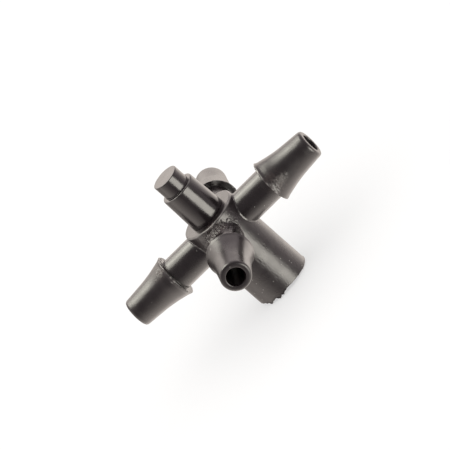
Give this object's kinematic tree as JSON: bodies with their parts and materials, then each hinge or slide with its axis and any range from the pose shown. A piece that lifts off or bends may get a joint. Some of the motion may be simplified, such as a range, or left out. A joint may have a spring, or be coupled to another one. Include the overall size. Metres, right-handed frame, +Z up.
{
  "type": "cross fitting",
  "caption": "Small barbed cross fitting for micro-irrigation hose: a hub with a push-on socket at its foot, barbed hose arms level round it and a stepped closing plug in its top.",
  "frame": {"origin": "centre of the socket's mouth, in the plane of its rim", "axes": "+Z up the hub's axis towards the plug; the arms point along +X, +Y, -X and -Y"},
  "size_m": [0.0276, 0.0276, 0.0185],
  "materials": {
    "hub_plastic": "moulded black polypropylene, fine pitted satin surface",
    "arm_plastic": "moulded black polypropylene, smooth semi-gloss surface",
    "plug_plastic": "moulded black polypropylene, smooth semi-gloss surface"
  },
  "bodies": {
    "fitting": {"hub_tube": "hub_plastic", "barb_arm_right": "arm_plastic", "barb_arm_rear": "arm_plastic", "barb_arm_left": "arm_plastic", "barb_arm_front": "arm_plastic"},
    "plug": {"top_plug": "plug_plastic"}
  },
  "joints": [
    {"name": "plug_pull", "type": "slide", "parent": "fitting", "child": "plug", "axis": [0, 0, 1], "range_m": [0, 0.008]}
  ]
}
